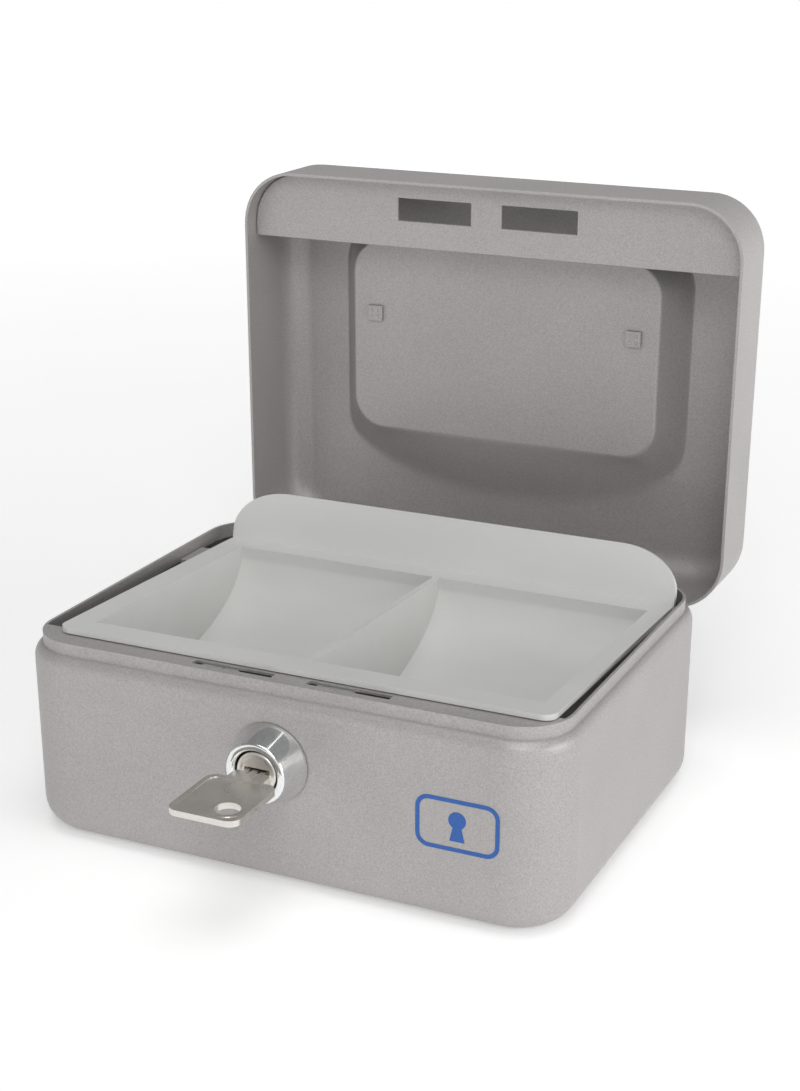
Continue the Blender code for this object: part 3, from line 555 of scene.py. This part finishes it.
def along_rays(outline, centre, rays):
    """Where rays from the centre, at these angles, meet a closed outline round it."""
    points = np.array(outline) - centre
    turns = np.arctan2(points[:, 1], points[:, 0])
    points = points[np.argsort(turns)]
    after = np.searchsorted(np.sort(turns), rays) % len(points)
    start, end = points[after - 1], points[after]
    way = np.stack([np.cos(rays), np.sin(rays)], axis=1)
    off_start = way[:, 0] * start[:, 1] - way[:, 1] * start[:, 0]
    off_end = way[:, 0] * end[:, 1] - way[:, 1] * end[:, 0]
    share = off_start / (off_start - off_end)
    return centre + start + (end - start) * share[:, None]


def lid_rays(centre, *outlines):
    """Angles from the centre to the outlines' points, leaving out those that nearly coincide."""
    points = np.concatenate([np.array(outline) for outline in outlines]) - centre
    turns = np.sort(np.arctan2(points[:, 1], points[:, 0]))
    return turns[np.concatenate([[True], np.diff(turns) > 0.006])]


def slope_height(share):
    """The height of the recess's side, from its floor at share 0 to the top at 1, with eased ends."""
    low_end, high_end = 0.07, 0.22
    if share < low_end:
        height = share * share / (2 * low_end)
    elif share < 1 - high_end:
        height = share - low_end / 2
    else:
        height = 1 - (low_end + high_end) / 2 - (1 - share) ** 2 / (2 * high_end)
    return height / (1 - (low_end + high_end) / 2)


def make_lid(material):
    def outline(inset):
        low, high = inset - HALF_DEPTH, HALF_DEPTH - inset
        return rounded(HALF_WIDTH - inset, low, high, CORNER_RADIUS - inset, 12, SIDE_STEPS)

    centre = np.array([0, (FLOOR_FRONT_Y + FLOOR_BACK_Y) / 2])
    floor_outline = rounded(FLOOR_HALF_X, FLOOR_FRONT_Y, FLOOR_BACK_Y, FLOOR_CORNER)
    rays = lid_rays(centre, outline(0), floor_outline, recess_outline())
    floor = along_rays(floor_outline, centre, rays)
    recess = along_rays(recess_outline(), centre, rays)
    rings = []
    for share in [0, 0.035, 0.07, *np.linspace(0.12, 1, 20)]:
        z = LID_TOP_Z - RECESS_DEPTH * (1 - slope_height(share))
        rings.append(level(floor + (recess - floor) * share, z))
    for turn in QUARTER_TURN:
        inset = LID_TOP_RADIUS * (1 - math.sin(turn))
        z = LID_TOP_Z - LID_TOP_RADIUS * (1 - math.cos(turn))
        rings.append(level(along_rays(outline(inset), centre, rays), z))
    for z in (LID_WALL_RING_Z, LID_RIM_Z):
        rings.append(level(along_rays(outline(0), centre, rays), z))
    lid = loft("lid", rings)
    open_lid(lid)
    thicken(lid)
    bevel(lid, 0.25 * MM, segments=2, angle_deg=60)
    smooth(lid, 50)
    place(lid, material, "paint", "lid", "lid_shell")


def make_flange(material):
    half = HALF_WIDTH - SHEET - GAP
    front = -HALF_DEPTH + SHEET + GAP
    rear = front + FLANGE_DEPTH
    edge = rounded(half, front, HALF_DEPTH, CORNER_RADIUS - SHEET - GAP)
    outline = [(-half, rear), *[point for point in edge if point[1] < rear - MM], (half, rear)]
    strip = prism("latch_flange", outline, FLANGE_UNDER_Z, FLANGE_UNDER_Z + SHEET, "Z")
    flat = HALF_WIDTH - CORNER_RADIUS - MM
    top = FLANGE_UNDER_Z + FLANGE_UPSTAND
    upstand = box("upstand", (-flat, front, FLANGE_UNDER_Z + SHEET / 2), (flat, front + SHEET, top))
    combine(strip, "UNION", upstand)
    cuts = []
    for left in slot_lefts(OPENING_LENGTH, OPENINGS_CENTRE_X):
        bottom = (left, OPENING_FRONT_Y, FLANGE_UNDER_Z - MM)
        cuts.append(box("opening", bottom, (left + OPENING_LENGTH, OPENING_REAR_Y, FLANGE_UNDER_Z + 2 * MM)))
    combine(strip, "DIFFERENCE", *cuts)
    open_lid(strip)
    bevel(strip, 0.2 * MM, segments=2, angle_deg=60)
    smooth(strip, 50)
    place(strip, material, "paint", "lid", "lid_latch_flange")


def make_bracket(name, side, material):
    """A rounded lug for the handle's end, and its square shank clinched over inside the lid."""
    x = side * PIVOT_X
    floor = LID_TOP_Z - RECESS_DEPTH
    top = PIVOT_Z + LUG_RISE
    crown = arc((PIVOT_Y, top - LUG_CROWN), LUG_HALF_LENGTH, LUG_CROWN, 0, 180, 20)
    profile = [(PIVOT_Y + LUG_HALF_LENGTH, floor + GAP), *crown, (PIVOT_Y - LUG_HALF_LENGTH, floor + GAP)]
    lug = prism(name, profile, x - LUG_HALF_WIDTH, x + LUG_HALF_WIDTH, "X")
    under = floor - SHEET - GAP
    half = SHANK / 2
    shank = box("shank", (x - half, PIVOT_Y - half, under - 0.3 * MM), (x + half, PIVOT_Y + half, floor + MM))
    half = CLINCH / 2
    low = (x - half, PIVOT_Y - half, under - CLINCH_THICK)
    head = box("head", low, (x + half, PIVOT_Y + half, under))
    combine(lug, "UNION", shank, head)
    bore = circle(PIVOT_Y, PIVOT_Z, WIRE_RADIUS + GAP)
    cuts = [prism("bore", bore, x - 5 * MM, x + 5 * MM, "X")]
    dent = CLINCH / 5
    for dx, dy in ((-1, -1), (1, -1), (-1, 1), (1, 1)):
        mark = circle(x + dx * dent, PIVOT_Y + dy * dent, CLINCH_MARK_RADIUS, 12)
        cuts.append(prism("mark", mark, under - MM, under - 0.5 * MM, "Z"))
    combine(lug, "DIFFERENCE", *cuts)
    open_lid(lug)
    bevel(lug, 0.2 * MM, segments=2)
    smooth(lug)
    place(lug, material, "paint", "lid", name)


def make_handle(material):
    leg, tip, fold, grip = HANDLE_LEG_X, PIVOT_X + LUG_HALF_WIDTH, HANDLE_FOLD, HANDLE_GRIP
    right = [(tip, PIVOT_Y)]
    right += arc((leg + fold, PIVOT_Y + fold), fold, fold, 270, 180, 12)
    right += arc((leg - grip, PIVOT_Y + HANDLE_REACH - grip), grip, grip, 0, 90, 14)
    path = right + [(-x, y) for x, y in reversed(right)]
    curve = bpy.data.curves.new("handle", "CURVE")
    curve.dimensions = "3D"
    curve.bevel_depth = WIRE_RADIUS
    curve.bevel_resolution = 8
    curve.use_fill_caps = True
    spline = curve.splines.new("POLY")
    spline.points.add(len(path) - 1)
    for point, (x, y) in zip(spline.points, path):
        point.co = (x, y, PIVOT_Z, 1)
    route = bpy.data.objects.new("route", curve)
    bpy.context.scene.collection.objects.link(route)
    graph = bpy.context.evaluated_depsgraph_get()
    made = bmesh.new()
    made.from_mesh(bpy.data.meshes.new_from_object(route.evaluated_get(graph)))
    bpy.data.objects.remove(route)
    bmesh.ops.remove_doubles(made, verts=made.verts, dist=1e-6)
    handle = new_object("handle", made)
    open_lid(handle)
    smooth(handle, 50)
    place(handle, material, "chrome", "handle", "handle_bail")


# ---------------------------------------------------------------- lock and key


def make_lock(chrome, nickel):
    low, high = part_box("lock_housing")
    face, end = low.y, high.y
    wall = -HALF_DEPTH - GAP
    edge = (COLLAR_FACE_RADIUS - COLLAR_EDGE, face + COLLAR_EDGE)
    dish = arc(edge, COLLAR_EDGE, COLLAR_EDGE, -90, 0, 6)
    profile = [
        (BORE_RADIUS, face + 1.0 * MM),
        (BORE_RADIUS + 0.5 * MM, face + 0.25 * MM),
        (BORE_RADIUS + 0.9 * MM, face),
        *dish,
        (COLLAR_BASE_RADIUS - 0.1 * MM, wall - 0.9 * MM),
        (COLLAR_BASE_RADIUS, wall - 0.6 * MM),
        (COLLAR_BASE_RADIUS, wall),
        (BARREL_RADIUS, wall),
        (BARREL_RADIUS, end),
        (BORE_RADIUS, end),
    ]
    housing = turned("lock_collar", profile)
    smooth(housing, 40)
    place(housing, chrome, "chrome", "box", "lock_housing")
    make_plug(face + PLUG_RECESS, end, nickel)


def make_plug(face, end, material):
    square_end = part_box("lock_plug")[1].y
    profile = [
        (0, face + PLUG_DISH_DEPTH),
        (PLUG_DISH_RADIUS, face + PLUG_DISH_DEPTH),
        (PLUG_DISH_EDGE, face),
        (PLUG_RADIUS - PLUG_CHAMFER, face),
        (PLUG_RADIUS, face + PLUG_CHAMFER),
        (PLUG_RADIUS, end),
        (0, end),
    ]
    plug = turned("plug", profile)
    half = DRIVE_SQUARE / 2
    square = box("square", (-half, end - MM, LOCK_Z - half), (half, square_end, LOCK_Z + half))
    combine(plug, "UNION", square)
    half_w, half_h = KEYWAY_WIDTH / 2, KEYWAY_HEIGHT / 2
    ward = -half_h + WARD_RISE
    keyway = [(-half_w, -half_h), (-half_w + WARD_START, -half_h), (-half_w + WARD_END, ward)]
    keyway += [(half_w - WARD_END, ward), (half_w - WARD_START, -half_h), (half_w, -half_h)]
    keyway += [(half_w, half_h), (-half_w, half_h)]
    keyway = [(x, LOCK_Z + z) for x, z in keyway]
    combine(plug, "DIFFERENCE", prism("keyway", keyway, face - MM, face + KEYWAY_DEPTH, "Y"))
    bevel(plug, 0.12 * MM, segments=2)
    smooth(plug)
    place(plug, material, "chrome", "plug", "lock_plug")


def make_key(material):
    low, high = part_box("key")
    front, rear, tip = low.y, low.y + BOW_LENGTH, high.y
    under, top = LOCK_Z - KEY_THICKNESS / 2, LOCK_Z + KEY_THICKNESS / 2
    key = prism("flat_key", rounded(BOW_WIDTH / 2, front, rear, BOW_CORNER), under, top, "Z")
    panel = rounded(BOW_WIDTH / 2 - BOW_RIM, front + BOW_RIM, rear - BOW_RIM, BOW_PANEL_CORNER)
    combine(
        key,
        "DIFFERENCE",
        prism("panel_top", panel, top - BOW_PANEL_DEPTH, top + MM, "Z"),
        prism("panel_under", panel, under - MM, under + BOW_PANEL_DEPTH, "Z"),
    )
    x, y, radius = KEY_HOLE
    boss = prism("boss", circle(x, y, radius + BOSS_WIDTH), under, top, "Z")
    half, neck, neck_end = BLADE_WIDTH / 2, KEY_NECK_WIDTH / 2, rear + KEY_NECK_LENGTH
    right = [(neck, rear - MM), (neck, neck_end - MM), (neck - MM, neck_end), (half, neck_end)]
    right += [(half, tip - BLADE_POINT), (half - BLADE_POINT, tip)]
    outline = right + [(-x, y) for x, y in reversed(right)]
    blade = prism("blade", outline, under + 0.05 * MM, top - 0.05 * MM, "Z")
    combine(key, "UNION", boss, blade)
    cuts = [prism("hole", circle(x, y, radius), under - MM, top + MM, "Z")]
    for side in (-1, 1):
        middle = side * GROOVE_X
        groove = (middle - GROOVE_HALF_WIDTH, neck_end - MM, top - GROOVE_DEPTH)
        cuts.append(box("groove", groove, (middle + GROOVE_HALF_WIDTH, tip + MM, top + MM)))
    combine(key, "DIFFERENCE", *cuts)
    bevel(key, 0.14 * MM, segments=2)
    smooth(key)
    place(key, material, "nickel", "key", "key")


# ---------------------------------------------------------------- coin tray


def pocket_profile(grow, top):
    """A pocket's section as (y, z): upright in front, and one sweep from the floor up to the back."""
    front = POCKET_FRONT - grow
    depth = POCKET_DEPTH + grow
    corner = POCKET_CORNER + grow
    sweep = arc((POCKET_SWEEP, 0), POCKET_REAR + grow - POCKET_SWEEP, depth, -7, -90, 40)
    front_corner = arc((front + corner, -depth + corner), corner, corner, 270, 180, 10)
    return [(sweep[0][0], top), *sweep, *front_corner, (front, top)]


def make_tray(material):
    low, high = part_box("coin_tray")
    half = (high.x - low.x) / 2
    tray = prism("tray", rounded(half, 0, TRAY_LENGTH, RIM_CORNER), -RIM_THICK, 0, "Z")
    left, right = POCKETS_X - POCKET_HALF_W, POCKETS_X + POCKET_HALF_W
    outside = pocket_profile(TRAY_WALL, -RIM_THICK / 2)
    block = prism("block", outside, left - TRAY_WALL, right + TRAY_WALL, "X")
    corner = (half - PANEL_CORNER, PANEL_HEIGHT - PANEL_CORNER_RISE)
    edge = [(half, -RIM_THICK / 2), *arc(corner, PANEL_CORNER, PANEL_CORNER_RISE, 0, 90, 20)]
    panel = prism("panel", edge + [(-x, z) for x, z in reversed(edge)], 0, TRAY_WALL, "Y")
    lean = Matrix.Rotation(math.radians(-PANEL_LEAN_DEG), 4, "X")
    panel.data.transform(Matrix.Translation((0, TRAY_LENGTH - TRAY_WALL - GAP, -PANEL_DROP)) @ lean)
    combine(tray, "UNION", block, panel)
    inside = pocket_profile(0, MM)
    left_pocket = prism("pocket", inside, left, POCKETS_X - DIVIDER / 2, "X")
    right_pocket = prism("pocket", inside, POCKETS_X + DIVIDER / 2, right, "X")
    combine(tray, "DIFFERENCE", left_pocket, right_pocket)
    pitch = Matrix.Rotation(math.radians(TRAY_PITCH_DEG), 4, "X")
    corner = Vector(((low.x + high.x) / 2, TRAY_FRONT_Y, TRAY_TOP_Z))
    tray.data.transform(Matrix.Translation(corner) @ pitch)
    bevel(tray, 0.3 * MM, segments=3)
    smooth(tray)
    place(tray, material, "plastic", "tray", "coin_tray")


# ---------------------------------------------------------------- badge


def make_badge(material):
    """A plain badge of its own: a rounded frame round a keyhole."""
    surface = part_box("box_body")[0].y - BADGE_GAP
    front = surface - BADGE_THICK

    def outline(half_x, half_z, radius):
        return [(BADGE_X + x, BADGE_Z + z) for x, z in rounded(half_x, -half_z, half_z, radius)]

    rim = prism("badge", outline(*BADGE_HALF), front, surface, "Y")
    inner = outline(*BADGE_INNER_HALF)
    combine(rim, "DIFFERENCE", prism("inner", inner, front - MM, surface + MM, "Y"))
    bow = arc((0, KEYHOLE_HEAD_Z), KEYHOLE_HEAD_RADIUS, KEYHOLE_HEAD_RADIUS, -60, 240, 32)
    head = [(BADGE_X + x, BADGE_Z + z) for x, z in bow]
    foot_x, foot_z = KEYHOLE_FOOT
    skirt = [(BADGE_X - foot_x, BADGE_Z + foot_z), (BADGE_X + foot_x, BADGE_Z + foot_z)]
    mark = prism("badge_keyhole", head + skirt, front, surface, "Y")
    for obj in (rim, mark):
        smooth(obj)
        place(obj, material, "paint", "box")


# ---------------------------------------------------------------- carried-over CAD nodes


def dress(nodes, material):
    for name in nodes:
        obj = frame["nodes"][name]
        obj.data.materials.clear()
        obj.data.materials.append(material)


# ---------------------------------------------------------------- stage


def make_floor():
    made = bmesh.new()
    bmesh.ops.create_grid(made, x_segments=1, y_segments=1, size=12)
    floor = new_object("floor", made)
    floor.location.z = -0.05 * MM
    finish = Finish("floor", (0.93, 0.93, 0.93), 0, 0.8)
    finish.shader.inputs["Emission Color"].default_value = (1, 1, 1, 1)
    reach = finish.nodes.new("ShaderNodeVectorMath")
    reach.operation = "LENGTH"
    finish.links.new(finish.place, reach.inputs[0])
    glow = finish.ranged(reach.outputs["Value"], *FLOOR_GLOW, *FLOOR_REACH)
    finish.links.new(glow, finish.shader.inputs["Emission Strength"])
    finish.vary_colour(finish.ranged(finish.noise(40 * MM), 0.995, 1.005))
    floor.data.materials.append(finish.material)


def area_light(name, position, size, power):
    light = bpy.data.lights.new(name, "AREA")
    light.shape = "RECTANGLE"
    light.size, light.size_y = size
    light.energy = power
    obj = bpy.data.objects.new(name, light)
    bpy.context.scene.collection.objects.link(obj)
    obj.location = position
    obj.rotation_euler = (TARGET - Vector(position)).to_track_quat("-Z", "Y").to_euler()


def studio_world():
    """A white room: bright at the horizon, dimmer overhead, and a little dimmer on the left."""
    world = bpy.data.worlds.new("studio")
    world.use_nodes = True
    nodes, links = world.node_tree.nodes, world.node_tree.links
    split = nodes.new("ShaderNodeSeparateXYZ")
    links.new(nodes.new("ShaderNodeTexCoord").outputs["Generated"], split.inputs[0])
    product = nodes.new("ShaderNodeMath")
    product.operation = "MULTIPLY"
    for i, (axis, start, end, low, high) in enumerate(WORLD_STRENGTH):
        ranged = nodes.new("ShaderNodeMapRange")
        ranged.inputs["From Min"].default_value = start
        ranged.inputs["From Max"].default_value = end
        ranged.inputs["To Min"].default_value = low
        ranged.inputs["To Max"].default_value = high
        links.new(split.outputs[axis], ranged.inputs["Value"])
        links.new(ranged.outputs["Result"], product.inputs[i])
    links.new(product.outputs["Value"], nodes["Background"].inputs["Strength"])
    nodes["Background"].inputs["Color"].default_value = (1, 1, 1, 1)
    return world


def make_lights():
    bpy.context.scene.world = studio_world()
    for lamp in LAMPS:
        area_light(*lamp)


def make_camera():
    azimuth, elevation = math.radians(AZIMUTH_DEG), math.radians(ELEVATION_DEG)
    back = Vector((math.sin(azimuth), -math.cos(azimuth), 0)) * math.cos(elevation)
    back.z = math.sin(elevation)
    data = bpy.data.cameras.new("camera")
    data.lens = LENS
    data.sensor_fit = "VERTICAL"
    data.sensor_height = 36
    data.shift_x = SHIFT_X
    data.shift_y = SHIFT_Y
    data.clip_start = 0.01
    camera = bpy.data.objects.new("camera", data)
    bpy.context.scene.collection.objects.link(camera)
    turn = (-back).to_track_quat("-Z", "Y").to_matrix() @ Matrix.Rotation(math.radians(ROLL_DEG), 3, "Z")
    camera.matrix_world = Matrix.Translation(TARGET + back * DISTANCE) @ turn.to_4x4()
    bpy.context.scene.camera = camera


# ---------------------------------------------------------------- the scene


def build():
    paint = paint_finish("silver_paint", (0.392, 0.376, 0.372))
    plastic = plastic_finish()
    chrome = metal_finish("chrome", (0.85, 0.86, 0.86), 0.10, stretch=(1, 6, 1))
    nickel = metal_finish("nickel", (0.74, 0.71, 0.67), 0.34, stretch=(1, 8, 1), size=0.4 * MM)
    zinc = metal_finish("zinc", (0.60, 0.62, 0.63), 0.34, stretch=(6, 1, 1))
    steel = metal_finish("steel", (0.50, 0.49, 0.47), 0.38, stretch=(1, 1, 6), depth=0.012 * MM)
    brass = metal_finish("brass", (0.75, 0.58, 0.27), 0.3)
    make_body(paint)
    make_lid(paint)
    make_flange(paint)
    make_bracket("handle_bracket_left", -1, paint)
    make_bracket("handle_bracket_right", 1, paint)
    make_handle(chrome)
    make_lock(chrome, nickel)
    make_key(nickel)
    make_tray(plastic)
    make_badge(enamel_finish())
    dress(("tray_rest_left", "tray_rest_right", "lock_cover"), paint)
    dress(("hinge_leaf_body", "hinge_leaf_lid", "lock_nut", "cam_washer", "cam_screw", "hook_plate"), zinc)
    dress(("hinge_pin", "lock_cam", "pin_clip"), steel)
    dress([name for name in frame["nodes"] if name.startswith("wafer")], brass)
    make_floor()
    make_lights()
    make_camera()
    bpy.context.scene.view_settings.view_transform = "Standard"


for old in list(bpy.data.objects):
    bpy.data.objects.remove(old, do_unlink=True)
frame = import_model()
build()
bpy.context.view_layer.update()
